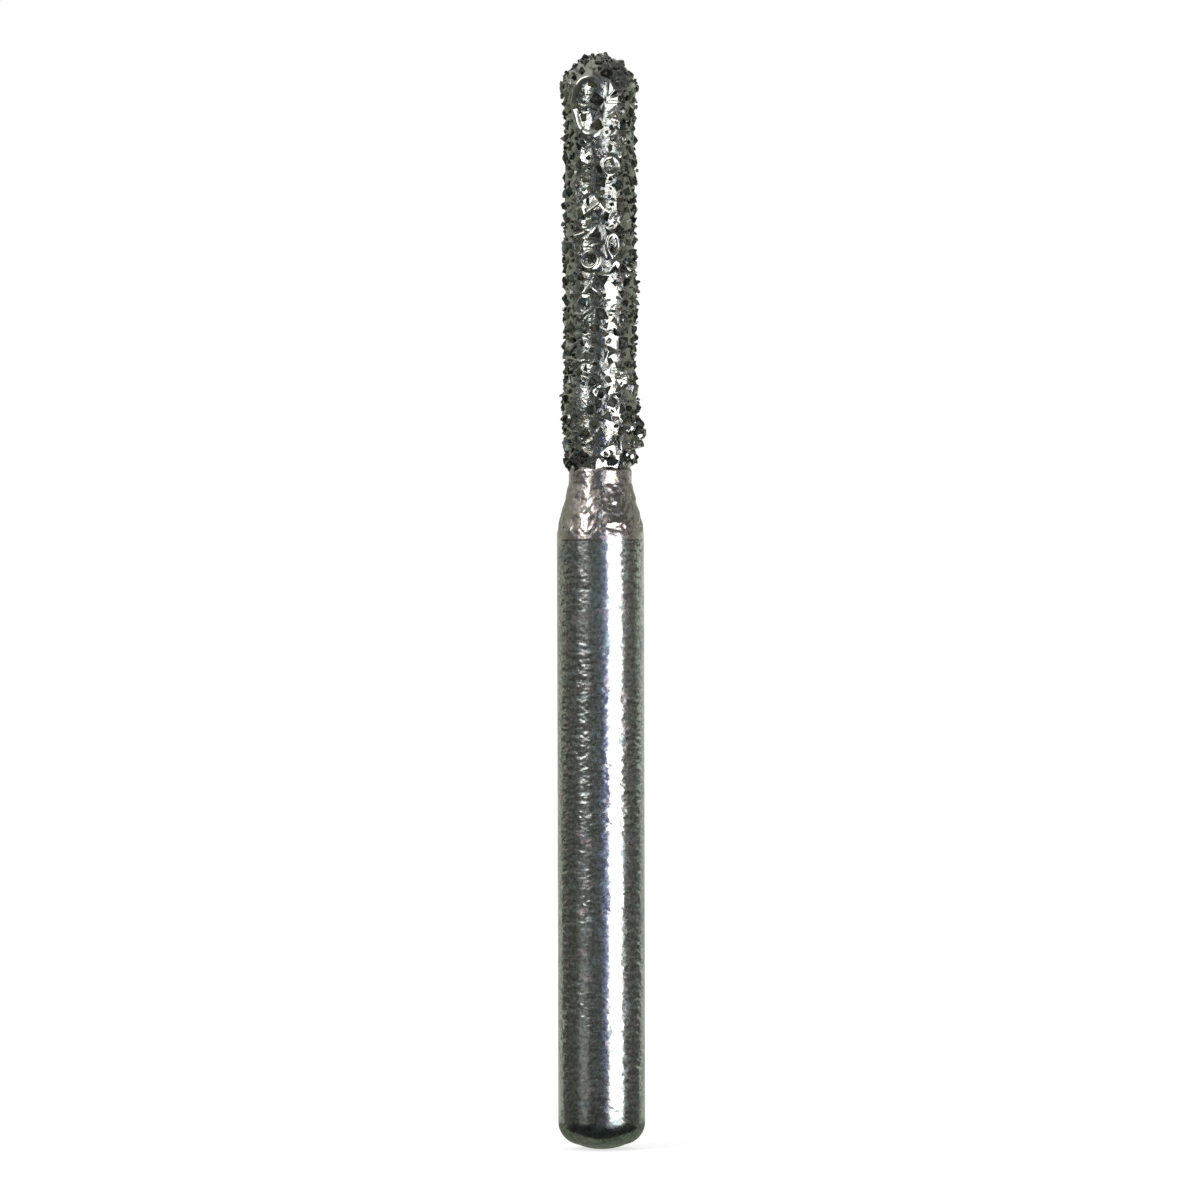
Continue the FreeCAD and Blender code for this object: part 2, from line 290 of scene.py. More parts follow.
# Bright plated nickel between and over the grains, with the scales of its lumps and pimples
nickelFinish = {
    "tone": ((0.46, 0.47, 0.43, 1), (0.20, 0.165, 0.11, 1), (0.12, 0.19, 0.20, 1), 11000.0),
    "calmStain": 0.2,
    # Painted shade: colour that darkens the nickel in the hollows between the grains
    "hollowShadeColour": (0.09, 0.09, 0.08, 1),
    "roughness": 0.13,
    "stainRoughness": 0.14,
    "lumps": (14000.0, 40000.0),
    "depth": 0.0075 * mm,
    "calmDepth": 0.0012 * mm,
}


def buildNickel(finish):
    material, tree, shader = newMaterial("platedNickel")
    lumps = placeGroup(tree, nickelLumps, *finish["lumps"])
    calm = attributeValue(tree, "calm")
    strength = stepBetween(tree, calm, 0.0, 1.0, 1.0, finish["calmStain"])
    tone = placeGroup(tree, stains, *finish["tone"], strength)
    # Painted shade: the nickel's colour is darkened where it lies in a hollow
    hollowShade = attributeValue(tree, "hollowShade")
    hollowShaded = mixColours(tree, hollowShade, tone["Colour"], finish["hollowShadeColour"], "MULTIPLY")
    feed(tree, shader["Base Color"], hollowShaded)
    feed(tree, shader["Metallic"], 1.0)
    rough = mathNode(tree, "MULTIPLY_ADD", tone["Mask"], finish["stainRoughness"], finish["roughness"])
    feed(tree, shader["Roughness"], rough)
    depth = stepBetween(tree, calm, 0.0, 1.0, finish["depth"], finish["calmDepth"])
    raiseSurface(tree, shader, mathNode(tree, "MULTIPLY", lumps["Height"], depth))
    return material


# Diamond: dark grey green with glassy facets, each grain in a tone of its own
diamondFinish = {
    "darkTone": (0.006, 0.008, 0.006, 1),
    "oliveTone": (0.20, 0.21, 0.12, 1),
    "slateTone": (0.09, 0.14, 0.14, 1),
    "brownCloud": (0.14, 0.10, 0.08, 1),
    "clouds": (12000.0, 0.8),
    "roughness": 0.12,
    "cloudRoughness": 0.3,
    "index": 2.42,
    "dullGlint": 0.03,
    "brightGlint": 0.6,
    "lumps": (16000.0, 52000.0),
    "scratchDepth": 0.006 * mm,
}


def buildDiamond(finish):
    material, tree, shader = newMaterial("diamondCrystal")
    pale = mixColours(tree, attributeValue(tree, "hue"), finish["oliveTone"], finish["slateTone"])
    # The shade attribute is each grain's own tone times painted shade towards its foot
    tone = mixColours(tree, attributeValue(tree, "shade"), finish["darkTone"], pale)
    cloudy = placeGroup(tree, stains, tone, finish["brownCloud"], finish["darkTone"], *finish["clouds"])
    feed(tree, shader["Base Color"], cloudy["Colour"])
    rough = mathNode(tree, "MULTIPLY_ADD", cloudy["Mask"], finish["cloudRoughness"], finish["roughness"])
    feed(tree, shader["Roughness"], rough)
    feed(tree, shader["IOR"], finish["index"])
    # The glassy attribute is also lowered towards each grain's foot as painted shade
    glassy = attributeValue(tree, "glassy")
    glint = stepBetween(tree, glassy, 0.0, 1.0, finish["dullGlint"], finish["brightGlint"])
    feed(tree, shader["Specular IOR Level"], glint)
    lumps = placeGroup(tree, nickelLumps, *finish["lumps"])
    raiseSurface(tree, shader, mathNode(tree, "MULTIPLY", lumps["Height"], finish["scratchDepth"]))
    return material


groundSteel = buildSteel(steelFinish)
platedNickel = buildNickel(nickelFinish)
diamondCrystal = buildDiamond(diamondFinish)
print("finishes built")


def addPiece(name, mesh, material, slotName, *replaced):
    piece = bpy.data.objects.new(name, mesh)
    bpy.context.scene.collection.objects.link(piece)
    mesh.materials.append(material)
    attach(piece, "root")
    if replaced:
        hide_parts(*replaced)
    return piece


def roll(start, end, count):
    return [start + (end - start) * step / count for step in range(count)]


# Steel blank, turned from one outline, with the nickel flash as lumps on its neck
blankShape = {
    "shankRadius": 0.8,
    "shankLength": 11.2,
    "neckLength": 1.25,
    "coreRadius": 0.54,
    "coreTop": 20.02,
    "shoulderRadius": 1.5,
    "neckRadius": 0.6,
    "domeRadius": 1.15,
    "domeHalfWidth": 0.45,
    "cornerRadius": 0.42,
    "columns": 224,
    "rings": (14, 18, 12, 68, 4, 26, 44, 12, 20, 20, 16),
    "wallEnds": (0.3, 0.06),
    "coreFoot": 0.4,
    "flashStart": (11.24, 11.42),
    "flashEnd": (12.47, 12.56),
    "calmStart": (12.15, 12.3),
    "calming": 0.7,
    "flashLump": 0.022,
    "lumpFrequency": 5.5,
    "flashPimple": 0.012,
    "pimpleFrequency": 13.0,
    "collarRadius": 0.576,
}


def arc(across, up, radius, start, end, count):
    return [(across + radius * math.cos(angle), up + radius * math.sin(angle))
            for angle in roll(start, end, count)]


def blankOutline(shape):
    # Radius and height in millimetres, from the middle of the domed end to the tip, where each
    # stretch has its own count of rings
    counts = iter(shape["rings"])
    shankRadius, coreRadius = shape["shankRadius"], shape["coreRadius"]
    domeRadius, cornerRadius = shape["domeRadius"], shape["cornerRadius"]
    kinkAcross = shape["domeHalfWidth"]
    kinkUp = domeRadius - math.sqrt(domeRadius**2 - kinkAcross**2)
    cornerAcross = shankRadius - cornerRadius
    cornerUp = kinkUp + math.sqrt(cornerRadius**2 - (kinkAcross - cornerAcross) ** 2)
    coreStart = shape["shankLength"] + shape["neckLength"]
    shoulderMiddle = Vector((shankRadius - shape["shoulderRadius"], shape["shankLength"]))
    neckMiddle = Vector((coreRadius + shape["neckRadius"], coreStart))
    between = neckMiddle - shoulderMiddle
    slope = math.atan2(between.y, between.x)
    slope -= math.acos((shape["shoulderRadius"] + shape["neckRadius"]) / between.length)

    outline = []
    domeEnd = math.asin(kinkAcross / domeRadius)
    for angle in roll(0, domeEnd, next(counts)):
        outline.append((domeRadius * math.sin(angle), domeRadius * (1 - math.cos(angle))))
    cornerFrom = math.atan2(kinkUp - cornerUp, kinkAcross - cornerAcross)
    outline += arc(cornerAcross, cornerUp, cornerRadius, cornerFrom, 0, next(counts))
    # Rings are close together at both ends of the straight wall
    wallTop = shape["shankLength"]
    lowerFine, upperFine = shape["wallEnds"]
    stops = [cornerUp, cornerUp + lowerFine, wallTop - upperFine, wallTop]
    for low, high in zip(stops, stops[1:]):
        outline += [(shankRadius, height) for height in roll(low, high, next(counts))]
    outline += arc(*shoulderMiddle, shape["shoulderRadius"], 0, slope, next(counts))
    away = Vector((math.cos(slope), math.sin(slope)))
    coneStart = shoulderMiddle + away * shape["shoulderRadius"]
    coneEnd = neckMiddle - away * shape["neckRadius"]
    outline += [tuple(coneStart.lerp(coneEnd, share)) for share in roll(0, 1, next(counts))]
    outline += arc(*neckMiddle, shape["neckRadius"], math.pi + slope, math.pi, next(counts))
    tipMiddle = shape["coreTop"] - coreRadius
    stops = [coreStart, coreStart + shape["coreFoot"], tipMiddle]
    for low, high in zip(stops, stops[1:]):
        outline += [(coreRadius, height) for height in roll(low, high, next(counts))]
    outline += arc(0, tipMiddle, coreRadius, 0, math.pi / 2, next(counts))
    outline.append((0.0, shape["coreTop"]))
    return outline


def smoothStep(value, low, high):
    share = min(max((value - low) / (high - low), 0.0), 1.0)
    return share * share * (3 - 2 * share)


def flashThickness(place, shape):
    # Lumps of the flash, none on the ground shank and none under the bond
    height = place.z
    share = smoothStep(height, *shape["flashStart"]) * (1 - smoothStep(height, *shape["flashEnd"]))
    if share == 0:
        return 0.0
    broad = noise.noise(place * shape["lumpFrequency"])
    fine = noise.noise(place * shape["pimpleFrequency"])
    collar = max(shape["collarRadius"] - math.hypot(place.x, place.y), 0)
    calm = 1 - shape["calming"] * smoothStep(height, *shape["calmStart"])
    return share * (calm * (shape["flashLump"] * broad + shape["flashPimple"] * fine) + collar)


def latheMesh(name, rings):
    # Rings are lists of points of one length, and a pole is a ring of one point
    points = []
    starts = []
    for ring in rings:
        starts.append(len(points))
        points += ring
    faces = []
    for number in range(len(rings) - 1):
        low, high = starts[number], starts[number + 1]
        lowCount, highCount = len(rings[number]), len(rings[number + 1])
        columns = max(lowCount, highCount)
        for column in range(columns):
            following = (column + 1) % columns
            corners = (low + column % lowCount, low + following % lowCount,
                       high + following % highCount, high + column % highCount)
            faces.append(tuple(dict.fromkeys(corners)))
    mesh = bpy.data.meshes.new(name)
    mesh.from_pydata(points, [], faces)
    mesh.validate()
    mesh.shade_smooth()
    return mesh


def buildBlank(shape):
    rings = []
    for radius, height in blankOutline(shape):
        if radius == 0:
            rings.append([(0, 0, height * mm)])
            continue
        ring = []
        for column in range(shape["columns"]):
            angle = 2 * math.pi * column / shape["columns"]
            outward = Vector((math.cos(angle), math.sin(angle), 0))
            place = outward * radius + Vector((0, 0, height))
            ring.append(outward * min(radius + flashThickness(place, shape), shape["shankRadius"]) * mm)
            ring[-1].z = height * mm
        rings.append(ring)
    return addPiece("steelBlank", latheMesh("steelBlank", rings), groundSteel, "steel", "steel_blank")


steelBlank = buildBlank(blankShape)
print("blank turned:", len(steelBlank.data.polygons), "faces")


# Head: the skin over the core is unrolled to a grid of angle and of distance along the outline
headShape = {
    "coreRadius": 0.54,
    "lowerEdge": 12.47,
    "tipMiddle": 19.48,
    "columns": 200,
    "rowPitch": 0.021,
    "innerRows": 40,
    "nickelLevel": 0.092,
    "edgeTaper": (0.02, 0.34),
    "edgeWander": 0.16,
    "edgeFrequency": 4,
    "edgeLeast": 0.04,
    # Depth and reach of the painted shade in the hollows
    "hollowShadeDepth": 0.02,
    "hollowShadeReach": 4,
}
# Nickel over and between the grains; a cover is the share of a grain's height that it reaches
nickelCover = {
    "seed": 21,
    "coveredShare": 0.05,
    "wholeCover": (1.05, 1.25),
    "partCover": (0.46, 0.6),
    "spotCover": 1.15,
    "layer": 0.010,
    "rounding": 0.02,
    "steepest": 0.15,
    "leastFacing": 0.12,
    "reach": (1.7, 0.05),
    "swell": 0.010,
    "swellFrequency": 4.5,
    "pimple": 0.002,
    "pimpleFrequency": 15,
}
# Places where the coating is thicker: across, up, spread and rise in millimetres, seen from the front
thickPlaces = [
    (-0.66, 19.60, 0.26, 0.06),
    (0.66, 19.55, 0.24, 0.05),
    (0.42, 19.95, 0.2, -0.08),
    (-0.66, 18.75, 0.24, -0.05),
    (0.66, 18.75, 0.24, -0.055),
    (-0.66, 18.05, 0.20, -0.04),
    (0.70, 15.75, 0.35, 0.045),
    (0.66, 12.85, 0.12, -0.04),
    (-0.72, 13.70, 0.35, 0.06),
    (0.72, 13.62, 0.25, 0.06),
    (-0.70, 12.86, 0.15, -0.03),
]
# Round knobs on the cluster: across, depth, up, radius and how much of their height is plated
clusterKnobs = [
    (0.735, -0.10, 13.14, 0.105, 1.0),
    (0.56, -0.42, 13.27, 0.10, 1.0),
    (0.66, -0.26, 13.00, 0.09, 0.7),
    (0.67, -0.20, 13.38, 0.10, 0.7),
    (0.72, 0.02, 13.33, 0.10, 0.7),
    (0.68, -0.12, 12.98, 0.09, 0.7),
    (0.56, -0.33, 12.76, 0.10, 0.8),
    (-0.62, -0.30, 13.42, 0.09, 0.7),
]
# Rims of nickel round an oval patch: across, up, half width, half height, rise, width and
# the share of the rise that is left on the right
nickelRims = [
    (-0.166, 19.17, 0.294, 0.543, 0.05, 0.045, 0.2),
    (0.20, 18.05, 0.15, 0.16, 0.045, 0.04, 0.8),
    (-0.19, 16.33, 0.14, 0.15, 0.045, 0.036, 1.0),
    (0.235, 16.60, 0.10, 0.20, 0.04, 0.034, 1.0),
]
rimForm = {
    "wobble": 0.11,
    "wobbleFrequency": 5,
    "fade": (0.1, 0.6),
    "clearance": 1.6,
}
# How far the nickel lies calm round the smooth spots and on the rims
calmForm = {
    "reach": 1.4,
    "fade": 0.4,
    "rimGain": 3,
    "rimMost": 0.8,
    "flattening": 0.7,
}
fineGrains = {
    "seed": 5,
    "corners": (9, 11, 13),
    "spread": 1.15,
    "clearance": 1.3,
    "smallest": (0.085, 0.06, 0.034),
    "largest": 0.125,
    "gap": 0.012,
    "rise": (0.035, 0.085),
    "bareEdge": 0.16,
}
# Smooth spots where the nickel buries every grain: across, up, half width and half height, on the front
smoothSpots = [
    (0.20, 19.32, 0.10, 0.27),
    (0.13, 16.10, 0.07, 0.13),
    (0.20, 15.68, 0.09, 0.18),
    (0.26, 14.70, 0.09, 0.20),
    (-0.24, 15.86, 0.07, 0.10),
]
# Pointed crystals on the round tip: across, depth, half width and top over the core
tipPeaks = [
    (0.09, 0.02, 0.10, 0.175),
    (-0.22, 0.05, 0.10, 0.176),
]
# Heights and widths of a tip crystal as shares of its own, except for the root's height
peakForm = {
    "waist": 0.45,
    "crown": 0.35,
    "cover": 0.7,
    "root": 0.03,
}
knobPoints = 26
knobTurn = 2.4


def skinPoint(along, angle, shape):
    # Point on the core and its outward normal, in millimetres
    outward = Vector((math.cos(angle), math.sin(angle), 0))
    straight = shape["tipMiddle"] - shape["lowerEdge"]
    if along <= straight:
        return outward * shape["coreRadius"] + Vector((0, 0, shape["lowerEdge"] + along)), outward
    lift = (along - straight) / shape["coreRadius"]
    normal = outward * math.cos(lift) + Vector((0, 0, math.sin(lift)))
    return Vector((0, 0, shape["tipMiddle"])) + normal * shape["coreRadius"], normal


def cadCrystals():
    # Corners of each crystal of the CAD node, in millimetres
    work = bmesh.new()
    work.from_mesh(nodes["diamond_grit"].data)
    bmesh.ops.remove_doubles(work, verts=work.verts, dist=0.0002 * mm)
    work.verts.ensure_lookup_table()
    seen = set()
    crystals = []
    for start in work.verts:
        if start.index in seen:
            continue
        island = [start]
        seen.add(start.index)
        for corner in island:
            for edge in corner.link_edges:
                other = edge.other_vert(corner)
                if other.index not in seen:
                    seen.add(other.index)
                    island.append(other)
        crystals.append([corner.co / mm for corner in island])
    work.free()
    crystals.sort(key=lambda corners: (round(corners[0].z, 5), round(corners[0].x, 5)))
    return crystals


def hullOf(points):
    # Faces of the convex hull as lists of points, with their outward normals
    work = bmesh.new()
    for place in points:
        work.verts.new(place)
    made = bmesh.ops.convex_hull(work, input=work.verts)
    unused = made["geom_interior"] + made["geom_unused"]
    loose = {item for item in unused if isinstance(item, bmesh.types.BMVert)}
    bmesh.ops.delete(work, geom=list(loose), context="VERTS")
    work.normal_update()
    middle = sum((corner.co for corner in work.verts), Vector()) / len(work.verts)
    corners = [corner.co.copy() for corner in work.verts]
    work.verts.index_update()
    faces = []
    for face in work.faces:
        order = [corner.index for corner in face.verts]
        normal = face.normal.copy()
        if normal.dot(face.verts[0].co - middle) < 0:
            order.reverse()
            normal.negate()
        faces.append((order, normal))
    edges = [(edge.verts[0].index, edge.verts[1].index) for edge in work.edges]
    work.free()
    return corners, faces, edges


def chipped(corners, edges, chance, least, most):
    # Every corner is broken off a little way down each of its edges
    points = []
    for first, second in edges:
        near, far = corners[first], corners[second]
        points.append(near.lerp(far, chance.uniform(least, most)))
        points.append(far.lerp(near, chance.uniform(least, most)))
    return points


def axisOf(middle, shape):
    # Foot of the normal through a point near the head, and that normal
    if middle.z > shape["tipMiddle"]:
        normal = (middle - Vector((0, 0, shape["tipMiddle"]))).normalized()
        return Vector((0, 0, shape["tipMiddle"])) + normal * shape["coreRadius"], normal
    normal = Vector((middle.x, middle.y, 0)).normalized()
    return normal * shape["coreRadius"] + Vector((0, 0, middle.z)), normal


def makeGrain(corners, shape, cover):
    hull, faces, edges = hullOf(corners)
    middle = sum(hull, Vector()) / len(hull)
    foot, normal = axisOf(middle, shape)
    return {
        "corners": hull,
        "faces": faces,
        "edges": edges,
        "foot": foot,
        "normal": normal,
        "reach": max((corner - middle - normal * (corner - middle).dot(normal)).length for corner in hull),
        "top": max((corner - foot).dot(normal) for corner in hull),
        "cover": cover,
    }


def coverOf(chance, settings):
    # Over one means that the grain is plated all over
    if chance.random() < settings["coveredShare"]:
        return chance.uniform(*settings["wholeCover"])
    return chance.uniform(*settings["partCover"])


def spotAway(place):
    # Least distance to a smooth spot in spot widths: under one inside it, large on the back
    return min(math.hypot((place[0] - across) / wide, (place[2] - up) / tall) + (place[1] > 0) * 9
               for across, up, wide, tall in smoothSpots)


def onRim(place):
    # Whether a place lies on one of the rims
    for across, up, wide, tall, rise, width, share in nickelRims:
        away = abs(math.hypot((place[0] - across) / wide, (place[2] - up) / tall) - 1) * wide
        if away < rimForm["clearance"] * width and place[1] < 0:
            return True
    return False


chanceCover = random.Random(nickelCover["seed"])
largeGrains = [makeGrain(corners, headShape, coverOf(chanceCover, nickelCover))
               for corners in cadCrystals()]
for grain in largeGrains:
    top = grain["foot"] + grain["normal"] * grain["top"]
    if spotAway(top) < 1.2:
        grain["cover"] = nickelCover["spotCover"]
print("large grains:", len(largeGrains))


def smoothMax(first, second, rounding):
    near = np.maximum(rounding - np.abs(first - second), 0) / rounding
    return np.maximum(first, second) + near * near * rounding / 4


def smoothMin(first, second, rounding):
    return -smoothMax(-first, -second, rounding)


def grainCover(grain, places, normals, cover):
    # Height of the nickel over one grain: its upper faces, thickened, rounded and cut off at a level
    height = None
    for order, normal in grain["faces"]:
        facing = normals @ np.array(normal)
        if normal.dot(grain["normal"]) < cover["steepest"]:
            continue
        start = np.array(grain["corners"][order[0]])
        reach = ((start - places) @ np.array(normal)) / np.maximum(facing, cover["leastFacing"])
        height = reach if height is None else smoothMin(height, reach, cover["rounding"] * 0.5)
    if height is None:
        return None
    level = grain["top"] * grain["cover"]
    return smoothMin(height + cover["layer"], np.full(len(places), level), cover["rounding"])


def headGrid(shape):
    # Rows run up the outline from the bond's lower edge to the top of the round tip
    straight = shape["tipMiddle"] - shape["lowerEdge"]
    whole = straight + shape["coreRadius"] * math.pi / 2
    count = round(whole / shape["rowPitch"])
    rows = [whole * number / count for number in range(count)]
    angles = [2 * math.pi * column / shape["columns"] for column in range(shape["columns"])]
    grid = [[skinPoint(along, angle, shape) for angle in angles] for along in rows]
    places = np.array([[place for place, normal in row] for row in grid])
    normals = np.array([[normal for place, normal in row] for row in grid])
    return rows, angles, places, normals


def rimHeights(surface, form):
    # Each rim's height over the grid, as a share of its rise, on the front only
    wobble = [noise.noise(Vector(place) * form["wobbleFrequency"]) * form["wobble"]
              for place in surface.reshape(-1, 3)]
    wobble = np.array(wobble).reshape(places.shape[:2])
    fadeFrom, fadeOver = form["fade"]
    heights = []
    for across, up, wide, tall, rise, width, rightShare in nickelRims:
        side = (surface[:, :, 0] - across) / wide
        away = (np.hypot(side, (surface[:, :, 2] - up) / tall) + wobble - 1) * wide / width
        faded = 1 - (1 - rightShare) * np.clip((side - fadeFrom) / fadeOver, 0, 1)
        heights.append(np.exp(-away**2) * faded * (surface[:, :, 1] < 0))
    return heights


def calmShare(surface, form):
    # One on the smooth spots and less on the rims, fading to nought round them, on the front only
    calm = np.zeros(places.shape[:2])
    for across, up, wide, tall in smoothSpots:
        away = np.hypot((surface[:, :, 0] - across) / wide, (surface[:, :, 2] - up) / tall)
        calm = np.maximum(calm, np.clip((form["reach"] - away) / form["fade"], 0, 1))
    for height in rims:
        calm = np.maximum(calm, np.clip(height * form["rimGain"], 0, form["rimMost"]))
    return calm * (surface[:, :, 1] < 0)


def bareNickel(surface, shape, cover):
    # Nickel between the grains, in slow swells, thicker at a few places and raised in a few rims
    flat = places.reshape(-1, 3)
    swells = [noise.noise(Vector(place) * cover["swellFrequency"]) * cover["swell"] for place in flat]
    pimples = [noise.noise(Vector(place) * cover["pimpleFrequency"]) * cover["pimple"] for place in flat]
    heights = (np.array(swells) + np.array(pimples)).reshape(places.shape[:2])
    level = heights * (1 - calmForm["flattening"] * calm) + shape["nickelLevel"]
    for across, up, spread, rise in thickPlaces:
        away = (surface[:, :, 0] - across) ** 2 + (surface[:, :, 2] - up) ** 2
        level += rise * np.exp(-away / spread**2)
    for rim, height in zip(nickelRims, rims):
        level += rim[4] * height
    return level


def gridNear(foot, spread):
    # Mask of the grid's places within a distance of a foot
    near = np.zeros(places.shape[:2], bool)
    band = np.abs(places[:, 0, 2] - foot[2]) < spread
    near[band] = np.linalg.norm(places[band] - foot, axis=2) < spread
    return near


def plateRound(grains, cover):
    # The nickel climbs each grain, worked out only where the grid is near it
    share, margin = cover["reach"]
    for grain in grains:
        near = gridNear(np.array(grain["foot"]), grain["reach"] * share + margin)
        if not near.any():
            continue
        height = grainCover(grain, places[near], normals[near], cover)
        if height is not None:
            thickness[near] = smoothMax(thickness[near], height, cover["rounding"])


def roomAround(grains, surface, most):
    # Free distance from each place of the bare nickel to the nearest of the grains
    room = np.full(surface.shape[:2], most)
    for grain in grains:
        near = gridNear(np.array(grain["foot"]), grain["reach"] * 1.3 + most)
        away = None
        for order, normal in grain["faces"]:
            plane = (surface[near] - np.array(grain["corners"][order[0]])) @ np.array(normal)
            away = plane if away is None else np.maximum(away, plane)
        room[near] = np.minimum(room[near], away)
    return room


def brokenGrain(middle, normal, size, chance, counts):
    # Corners of an uneven lump
    across = normal.orthogonal().normalized()
    upward = normal.cross(across)
    points = []
    for number in range(chance.choice(counts)):
        turn = chance.uniform(0, 2 * math.pi)
        lift = chance.uniform(-1, 1)
        flat = math.sqrt(1 - lift * lift)
        direction = across * math.cos(turn) * flat + upward * math.sin(turn) * flat + normal * lift
        points.append(middle + direction * size)
    return points


def growBetween(grains, settings, shape):
    # Fine grains fill the room that the large ones leave, each as wide as its place allows
    chance = random.Random(settings["seed"])
    surface = places + normals * thickness[:, :, None]
    room = roomAround(grains, surface, settings["largest"] + settings["gap"])
    clearance = settings["clearance"]
    smooth = [[spotAway(place) < clearance or onRim(place) for place in row] for row in surface]
    room[np.array(smooth)] = 0
    cells = [(row, column) for row in range(len(rows)) for column in range(shape["columns"])
             if rows[row] > settings["bareEdge"]]
    chance.shuffle(cells)
    fines = []
    for least in settings["smallest"]:
        for row, column in cells:
            size = min(room[row, column] - settings["gap"], chance.uniform(least, settings["largest"]))
            if size < least:
                continue
            normal = Vector(normals[row, column])
            middle = Vector(surface[row, column]) + normal * (chance.uniform(*settings["rise"]) - size)
            points = brokenGrain(middle, normal, size * settings["spread"], chance, settings["corners"])
            fines.append(makeGrain(points, shape, coverOf(chance, nickelCover)))
            near = gridNear(places[row, column], size + settings["largest"] + settings["gap"])
            away = np.linalg.norm(surface[near] - surface[row, column], axis=1) - size
            room[near] = np.minimum(room[near], away)
    return fines


def roundKnob(across, depth, up, radius, plated, shape):
    # Evenly spread points on a sphere
    points = []
    for number in range(knobPoints):
        lift = 1 - 2 * (number + 0.5) / knobPoints
        turn = number * knobTurn
        flat = math.sqrt(1 - lift * lift)
        direction = Vector((math.cos(turn) * flat, math.sin(turn) * flat, lift))
        points.append(Vector((across, depth, up)) + direction * radius)
    return makeGrain(points, shape, plated)


def peakGrain(across, depth, halfWidth, top, shape, form):
    # Pyramid on four corners, pointing outwards from the round tip
    up = math.sqrt(shape["coreRadius"] ** 2 - across**2 - depth**2)
    normal = Vector((across, depth, up)).normalized()
    foot = Vector((0, 0, shape["tipMiddle"])) + normal * shape["coreRadius"]
    side = normal.orthogonal().normalized() * halfWidth
    other = normal.cross(side)
    waist = foot + normal * top * form["waist"]
    points = [waist + side, waist - side, waist + other, waist - other, foot + normal * form["root"]]
    points += [foot + normal * top + part * form["crown"] for part in (side, -side, other)]
    return dict(makeGrain(points, shape, form["cover"]), sharp=True)


rows, angles, places, normals = headGrid(headShape)
plainSurface = places + normals * headShape["nickelLevel"]
rims = rimHeights(plainSurface, rimForm)
calm = calmShare(plainSurface, calmForm)
thickness = bareNickel(plainSurface, headShape, nickelCover)
peakGrains = [peakGrain(*peak, headShape, peakForm) for peak in tipPeaks]
knobs = [roundKnob(*knob, headShape) for knob in clusterKnobs]
smallGrains = growBetween(largeGrains + peakGrains + knobs, fineGrains, headShape) + peakGrains + knobs
plateRound(largeGrains, nickelCover)
plateRound(smallGrains, dict(nickelCover, layer=0.005, rounding=0.012))
print("fine grains:", len(smallGrains))


def hollowShadeShare(depth, reach):
    # Painted shade in the hollows: how far each place lies below the mean height around it, as a share of a
    # depth
    tall = np.pad(thickness, ((reach, reach), (0, 0)), mode="edge")
    mean = np.zeros_like(thickness)
    for down in range(2 * reach + 1):
        for across in range(-reach, reach + 1):
            mean += np.roll(tall[down:down + len(rows)], across, axis=1)
    mean /= (2 * reach + 1) ** 2
    return np.clip((mean - thickness) / depth, 0, 1)


def buildBond(shape):
    # Painted shade for the hollows, kept on the mesh as an attribute
    hollowShade = hollowShadeShare(shape["hollowShadeDepth"], shape["hollowShadeReach"])
    for row, along in enumerate(rows):
        for column in range(shape["columns"]):
            place = Vector(places[row, column])
            field = noise.noise(Vector((place.x, place.y, 0)) * shape["edgeFrequency"])
            share = smoothStep(along + shape["edgeWander"] * field, *shape["edgeTaper"])
            thickness[row, column] *= shape["edgeLeast"] + (1 - shape["edgeLeast"]) * share
    surface = (places + normals * thickness[:, :, None]) * mm
    outer = [[tuple(place) for place in row] for row in surface]
    top = shape["tipMiddle"] + shape["coreRadius"]
    inner = [[tuple(skinPoint(along, angle, shape)[0] * mm) for angle in angles]
             for along in roll(rows[-1], 0, shape["innerRows"])]
    rings = [[(0, 0, top * mm)], *inner, *outer, [(0, 0, (top + float(thickness[-1].mean())) * mm)]]
    mesh = latheMesh("nickelBond", rings)
    for name, shares in (("hollowShade", hollowShade), ("calm", calm)):
        values = [0.0] * (1 + len(inner) * shape["columns"]) + list(shares.ravel()) + [0.0]
        mesh.attributes.new(name, "FLOAT", "POINT").data.foreach_set("value", values)
    return addPiece("nickelBond", mesh, platedNickel, "nickel", "nickel_bond")


nickelBond = buildBond(headShape)
print("bond plated:", len(nickelBond.data.polygons), "faces")


# How the crystals are chipped, and how deep their surface is broken
largeChips = {
    "seed": 3,
    "chip": (0.04, 0.2),
}
fineChips = {
    "seed": 4,
    "chip": (0.05, 0.3),
}
ledgeForm = {
    "turns": 4,
    "edge": 0.05,
    "depth": 0.02,
    "cellFrequency": 16,
    "noiseFrequency": 24,
    "least": 0.25,
}
# Tones of the crystals, with painted shade that makes each grain darker and its glints duller towards its
# foot
crystalTones = {
    "shadePower": 1.5,
    "glassyEdges": (0.35, 0.8),
    "footShadeEdges": (0.08, 0.17),
    "footShadeLeast": 0.2,
    "sharpLoss": 0.2,
}


def roughen(mesh, form):
    # Long edges are split, and the new surface is broken back in small ledges
    work = bmesh.new()
    work.from_mesh(mesh)
    for turn in range(form["turns"]):
        longEdges = [item for item in work.edges if item.calc_length() > form["edge"] * mm]
        if not longEdges:
            break
        bmesh.ops.subdivide_edges(work, edges=longEdges, cuts=1)
        bmesh.ops.triangulate(work, faces=[face for face in work.faces if len(face.verts) > 3])
    work.normal_update()
    for corner in work.verts:
        place = corner.co / mm
        cell = noise.cell(place * form["cellFrequency"])
        ledge = cell * 0.5 + noise.noise(place * form["noiseFrequency"]) * 0.5 + form["least"]
        corner.co -= corner.normal * max(ledge, 0) * form["depth"] * mm
    work.to_mesh(mesh)
    work.free()


